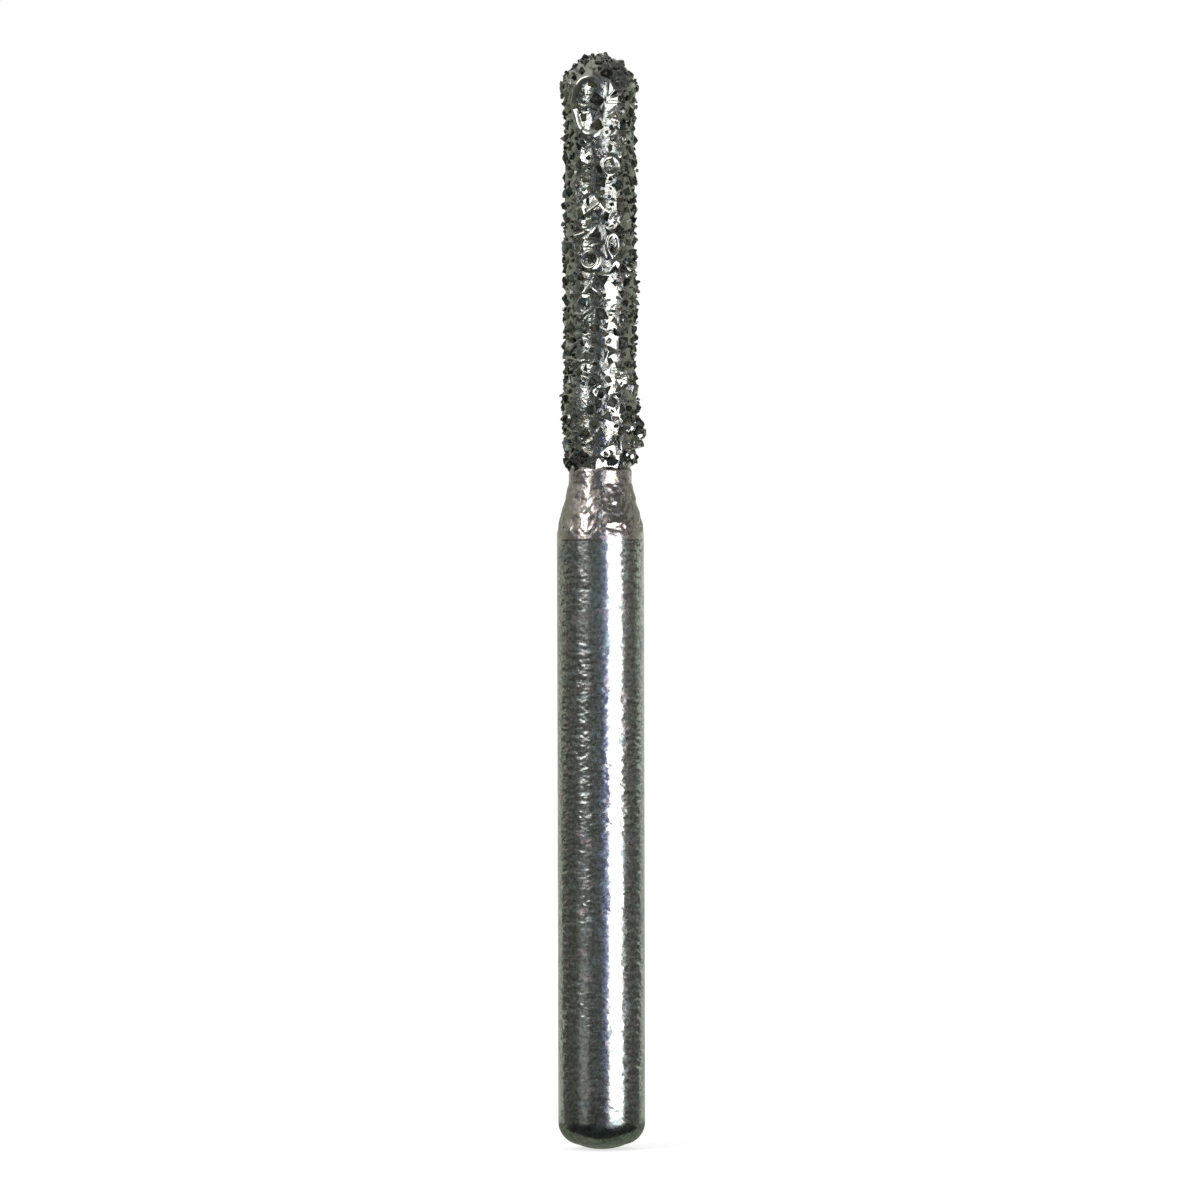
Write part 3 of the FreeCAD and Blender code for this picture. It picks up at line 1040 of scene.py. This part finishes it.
def buildCrystals(name, grains, chips, look):
    # One mesh of chipped crystals, each with a shade and a hue of its own, and with painted shade that
    # darkens and dulls it towards its foot
    chance = random.Random(chips["seed"])
    least, most = chips["chip"]
    footShadeLeast = look["footShadeLeast"]
    points = []
    faces = []
    tones = {"shade": [], "hue": [], "glassy": []}
    for grain in grains:
        loss = look["sharpLoss"] if grain.get("sharp") else 1.0
        broken = chipped(grain["corners"], grain["edges"], chance, least * loss, most * loss)
        hull, hullFaces, edges = hullOf(broken)
        start = len(points)
        points += [corner * mm for corner in hull]
        shade = chance.random() ** look["shadePower"]
        hue = chance.random()
        glassy = smoothStep(chance.random(), *look["glassyEdges"])
        for corner in hull:
            foot, normal = axisOf(corner, headShape)
            # Painted shade: the grain's colour and glint fall off towards its foot at the nickel
            outOfFootShade = smoothStep((corner - foot).dot(normal), *look["footShadeEdges"])
            tones["shade"].append(shade * (footShadeLeast + outOfFootShade))
            tones["hue"].append(hue)
            tones["glassy"].append(glassy * (footShadeLeast + (1 - footShadeLeast) * outOfFootShade))
        faces += [[start + index for index in order] for order, normal in hullFaces]
    mesh = bpy.data.meshes.new(name)
    mesh.from_pydata(points, [], faces)
    for tone, values in tones.items():
        mesh.attributes.new(tone, "FLOAT", "POINT").data.foreach_set("value", values)
    mesh.validate()
    return mesh


largeMesh = buildCrystals("diamondGrit", largeGrains, largeChips, crystalTones)
roughen(largeMesh, ledgeForm)
addPiece("diamondGrit", largeMesh, diamondCrystal, "diamond", "diamond_grit")
fineMesh = buildCrystals("fineGrit", smallGrains, fineChips, crystalTones)
addPiece("fineGrit", fineMesh, diamondCrystal, "diamond")
print("crystals set:", len(largeMesh.polygons), "and", len(fineMesh.polygons), "faces")


# Studio: a pale floor, a white ground behind, a soft box on the right and a small lamp on the left
studio = {
    "worldLevel": 0.45,
    "floorSize": 3.0,
    "floorGlow": 0.63,
    "floorColour": (0.86, 0.86, 0.86, 1),
    "floorRoughness": 0.9,
    "boxAzimuth": 37.0,
    "boxElevation": -3.0,
    "boxWide": 38.0,
    "boxTall": 25.0,
    "boxRadiance": 3.0,
    "nearDistance": 21.6 * mm,
    "nearBoxTop": 13.4,
    "nearBoxRadiance": 5.5,
    "nearBoxInset": 2.5,
    "lampAzimuth": -46.5,
    "lampElevation": 24.0,
    "lampWide": 22.0,
    "lampTall": 38.0,
    "lampRadiance": 3.6,
    "lightDistance": 0.3,
    "cardDistance": 0.5,
    "cardElevations": (-4, 0, 8, 16, 24, 32, 48, 68, 88),
    "upperBlend": (8, 28),
    "upperLeft": (0.64, 0.63, 0.58),
    "upperRight": (0.15, 0.15, 0.14),
    "upperTurn": (-32, 30),
    "upperReturn": (140, 180),
    "tableLightFrom": 6.7 * mm,
}
# Colour that the metal sees at eye level, from the left round the front to the right, by azimuth
surroundings = [
    (-180, (0.52, 0.53, 0.45)),
    (-152, (0.52, 0.52, 0.43)),
    (-112, (0.50, 0.51, 0.43)),
    (-98, (0.19, 0.18, 0.15)),
    (-88, (0.20, 0.21, 0.20)),
    (-30, (0.145, 0.165, 0.17)),
    (-12, (0.13, 0.15, 0.165)),
    (-2, (0.135, 0.17, 0.20)),
    (6, (0.18, 0.22, 0.27)),
    (18, (0.26, 0.29, 0.34)),
    (60, (0.46, 0.46, 0.47)),
    (66, (0.40, 0.36, 0.38)),
    (80, (0.30, 0.28, 0.28)),
    (96, (0.22, 0.20, 0.19)),
    (104, (0.23, 0.25, 0.20)),
    (119, (0.80, 0.88, 0.76)),
    (154, (0.84, 0.92, 0.80)),
    (180, (0.52, 0.53, 0.45)),
]


def towards(azimuth, elevation):
    # Azimuth 0 is where the photo's camera stands, and positive is to its right
    turn, lift = math.radians(azimuth), math.radians(elevation)
    return Vector((math.sin(turn) * math.cos(lift), -math.cos(turn) * math.cos(lift), math.sin(lift)))


def addLamp(name, azimuth, elevation, wide, tall, radiance):
    distance = studio["lightDistance"]
    data = bpy.data.lights.new(name, "AREA")
    data.shape = "RECTANGLE"
    data.size = 2 * distance * math.tan(math.radians(wide / 2))
    data.size_y = 2 * distance * math.tan(math.radians(tall / 2))
    data.energy = radiance * math.pi * data.size * data.size_y
    lamp = bpy.data.objects.new(name, data)
    lamp.location = towards(azimuth, elevation) * distance + Vector((0, 0, photoView["middleHeight"]))
    lamp.rotation_euler = towards(azimuth, elevation).to_track_quat("Z", "Y").to_euler()
    lamp.visible_camera = False
    bpy.context.scene.collection.objects.link(lamp)


def seenDirectly(tree):
    # One for camera, glossy and transmission rays
    path = addNode(tree, "ShaderNodeLightPath").outputs
    mirrored = mathNode(tree, "MAXIMUM", path["Is Glossy Ray"], path["Is Transmission Ray"])
    return mathNode(tree, "MAXIMUM", path["Is Camera Ray"], mirrored)


def buildWorld():
    world = bpy.data.worlds.new("whiteGround")
    world.use_nodes = True
    tree = world.node_tree
    background = next(item for item in tree.nodes if item.type == "BACKGROUND")
    background.inputs["Color"].default_value = (1, 1, 1, 1)
    level = mixValues(tree, seenDirectly(tree), studio["worldLevel"], 1.0)
    feed(tree, background.inputs["Strength"], level)
    bpy.context.scene.world = world


def stageObject(name, mesh, material):
    made = bpy.data.objects.new(name, mesh)
    mesh.materials.append(material)
    bpy.context.scene.collection.objects.link(made)
    return made


def buildFloor():
    material, tree, shader = newMaterial("paleFloor")
    feed(tree, shader["Base Color"], studio["floorColour"])
    feed(tree, shader["Roughness"], studio["floorRoughness"])
    feed(tree, shader["Specular IOR Level"], 0.0)
    feed(tree, shader["Emission Color"], (1, 1, 1, 1))
    glow = mathNode(tree, "MULTIPLY", seenDirectly(tree), studio["floorGlow"])
    feed(tree, shader["Emission Strength"], glow)
    half = studio["floorSize"] / 2
    mesh = bpy.data.meshes.new("floor")
    corners = [(-half, -half, 0), (half, -half, 0), (half, half, 0), (-half, half, 0)]
    mesh.from_pydata(corners, [], [(0, 1, 2, 3)])
    stageObject("floor", mesh, material)


def glowMaterial(name):
    # Each card glows in the colours that its corners carry
    material = bpy.data.materials.new(name)
    material.use_nodes = True
    tree = material.node_tree
    tree.nodes.clear()
    glow = addNode(tree, "ShaderNodeEmission")
    tone = addNode(tree, "ShaderNodeAttribute", attribute_name="glow").outputs["Color"]
    feed(tree, glow.inputs["Color"], tone)
    tree.links.new(glow.outputs[0], addNode(tree, "ShaderNodeOutputMaterial").inputs["Surface"])
    return material


def onlyInReflections(panel):
    for rays in ("camera", "diffuse", "shadow", "transmission", "volume_scatter"):
        setattr(panel, "visible_" + rays, False)


def addGlow(name, points, faces, colours):
    mesh = bpy.data.meshes.new(name)
    mesh.from_pydata(points, [], faces)
    values = [part for colour in colours for part in (*colour, 1)]
    mesh.attributes.new("glow", "FLOAT_COLOR", "POINT").data.foreach_set("color", values)
    onlyInReflections(stageObject(name, mesh, glowMaterial(name)))


def blendOf(first, second, share):
    return [low + (high - low) * share for low, high in zip(first, second)]


def colourAt(stops, azimuth):
    for (first, firstColour), (second, secondColour) in zip(stops, stops[1:]):
        if azimuth <= second:
            return blendOf(firstColour, secondColour, max(azimuth - first, 0) / (second - first))
    return stops[-1][1]


def addSurroundings(stops, upperColour):
    # Curved card round the bur that only the metal sees, as dark card stands round a studio table
    azimuths = [stops[0][0] + 2 * number for number in range((stops[-1][0] - stops[0][0]) // 2 + 1)]
    points = []
    colours = []
    for elevation in studio["cardElevations"]:
        share = smoothStep(elevation, *studio["upperBlend"])
        for azimuth in azimuths:
            points.append(towards(azimuth, elevation) * studio["cardDistance"])
            colours.append(blendOf(colourAt(stops, azimuth), upperColour(azimuth), share))
    faces = []
    width = len(azimuths)
    for row in range(len(studio["cardElevations"]) - 1):
        for column in range(width - 1):
            corner = row * width + column
            faces.append((corner, corner + 1, corner + width + 1, corner + width))
    addGlow("surroundings", points, faces, colours)


def upperTone(azimuth):
    # Overhead it's paler on the left than on the right
    share = smoothStep(azimuth, *studio["upperTurn"]) * (1 - smoothStep(azimuth, *studio["upperReturn"]))
    return blendOf(studio["upperLeft"], studio["upperRight"], share)


def addNearCard(name, left, right, low, high, colour, topColour=None):
    # Curved card close by, between two azimuths and two heights in millimetres
    count = 8
    points = []
    for number in range(count + 1):
        place = towards(left + (right - left) * number / count, 0) * studio["nearDistance"]
        points += [(place.x, place.y, low * mm), (place.x, place.y, high * mm)]
    faces = [(2 * number, 2 * number + 2, 2 * number + 3, 2 * number + 1) for number in range(count)]
    addGlow(name, points, faces, [colour, topColour or colour] * (count + 1))


def onTable(azimuth, distance, rise):
    place = towards(azimuth, 0) * distance
    return Vector((place.x, place.y, rise * mm))


# Cards that lie just over the floor: dark in front, darkest at the foot, paler behind.
# Rises and places are in millimetres, and the foot card's half edge is across and back.
tableTones = {
    "foot": (0.03, 0.035, 0.033),
    "near": (0.12, 0.12, 0.11),
    "behind": (0.20, 0.235, 0.175),
    "far": (0.60, 0.65, 0.56),
}
tableForm = {
    "wideRise": 0.004,
    "behindRise": 0.005,
    "footRise": 0.006,
    "lightRise": 0.008,
    "notch": (2, -0.72),
    "turn": 128,
    "footEdge": [(0.5, -0.72), (0.85, -0.6), (1.2, -0.32), (2.0, 0.1), (7.0, -0.72), (7.0, -7.0)],
}


def addTableCards(tones, form):
    half = studio["cardDistance"]
    rise, (notchAcross, notchBack) = form["wideRise"], form["notch"]
    middles = [Vector((across * mm, notchBack * mm, rise * mm)) for across in (-notchAcross, notchAcross)]
    sides = [onTable(azimuth, half, rise) for azimuth in (-form["turn"], form["turn"])]
    front = [onTable(azimuth, half * 1.2, rise) for azimuth in (-60, 60)]
    back = [onTable(azimuth, half * 1.5, rise) for azimuth in (150, 210)]
    near = [*front, sides[1], middles[1], middles[0], sides[0]]
    far = [middles[0], middles[1], sides[1], *back, sides[0]]
    addGlow("nearTable", near, [tuple(range(6))], [tones["near"]] * 6)
    addGlow("farTable", far, [tuple(range(6))], [tones["far"]] * 6)
    behind = [onTable(azimuth, 6 * mm, form["behindRise"]) for azimuth in (110, 135, 160, 180, 200, 225, 250)]
    addGlow("behindTable", [middles[0], middles[1], *behind], [tuple(range(9))], [tones["behind"]] * 9)
    # The dark card's back edge reaches furthest on both sides of the foot
    edge = [(-across, back) for across, back in reversed(form["footEdge"])] + form["footEdge"]
    foot = [Vector((across * mm, back * mm, form["footRise"] * mm)) for across, back in edge]
    addGlow("footTable", foot, [tuple(range(12))], [tones["foot"]] * 12)


def addTableLight(name, left, right, colour):
    # Light that a card close by throws along the table towards the foot
    near, far = studio["tableLightFrom"], studio["nearDistance"]
    wedge = [onTable(azimuth, distance, tableForm["lightRise"])
             for azimuth, distance in ((left, near), (right, near), (right, far), (left, far))]
    addGlow(name, wedge, [(0, 1, 2, 3)], [colour] * 4)


buildWorld()
buildFloor()
for name, part in (("softBox", "box"), ("smallLamp", "lamp")):
    addLamp(name, *(studio[part + value] for value in ("Azimuth", "Elevation", "Wide", "Tall", "Radiance")))
addSurroundings(surroundings, upperTone)
boxEdges = [studio["boxAzimuth"] + side * studio["boxWide"] / 2 for side in (-1, 1)]
boxEdges[0] += studio["nearBoxInset"]
boxGlow = [studio["nearBoxRadiance"]] * 3
# The diffuser before the soft box is as tall as the shank, so that its light is whole all along the shank
addNearCard("nearBox", *boxEdges, 0.01, studio["nearBoxTop"], boxGlow)
addTableLight("boxOnTable", *boxEdges, boxGlow)
# A faint card on the left gives the shank's lower part its second streak
lowGlow = (0.42, 0.42, 0.40)
addNearCard("lowCard", -59, -35, 0.01, 3.6, lowGlow, (0.15, 0.165, 0.17))
addTableLight("lowCardOnTable", -59, -35, lowGlow)
# Left and right azimuth, low and high edge and colour of each further card
nearCards = {
    # Blue gelled strips edge the diffuser on its left
    "paleBlueStrip": (4, 12, 0.01, 12.2, (0.17, 0.22, 0.45)),
    "blueStrip": (12, boxEdges[0], 0.01, 12.2, (0.24, 0.28, 0.85)),
    # Grey cards stand beside the head and a dark one before it, with a bright one left of the soft box
    "leftFlag": (-168, -90, 12.9, 22, (0.38, 0.40, 0.33)),
    "rightFlag": (90, 168, 12.9, 22, (0.38, 0.40, 0.33)),
    "frontFlag": (-14, 7, 13.4, 24, (0.09, 0.11, 0.12)),
    "headFill": (8, 18.5, 13.4, 24, (1.5, 1.55, 1.6)),
}
for name, card in nearCards.items():
    addNearCard(name, *card)
addTableCards(tableTones, tableForm)
print("studio lit")
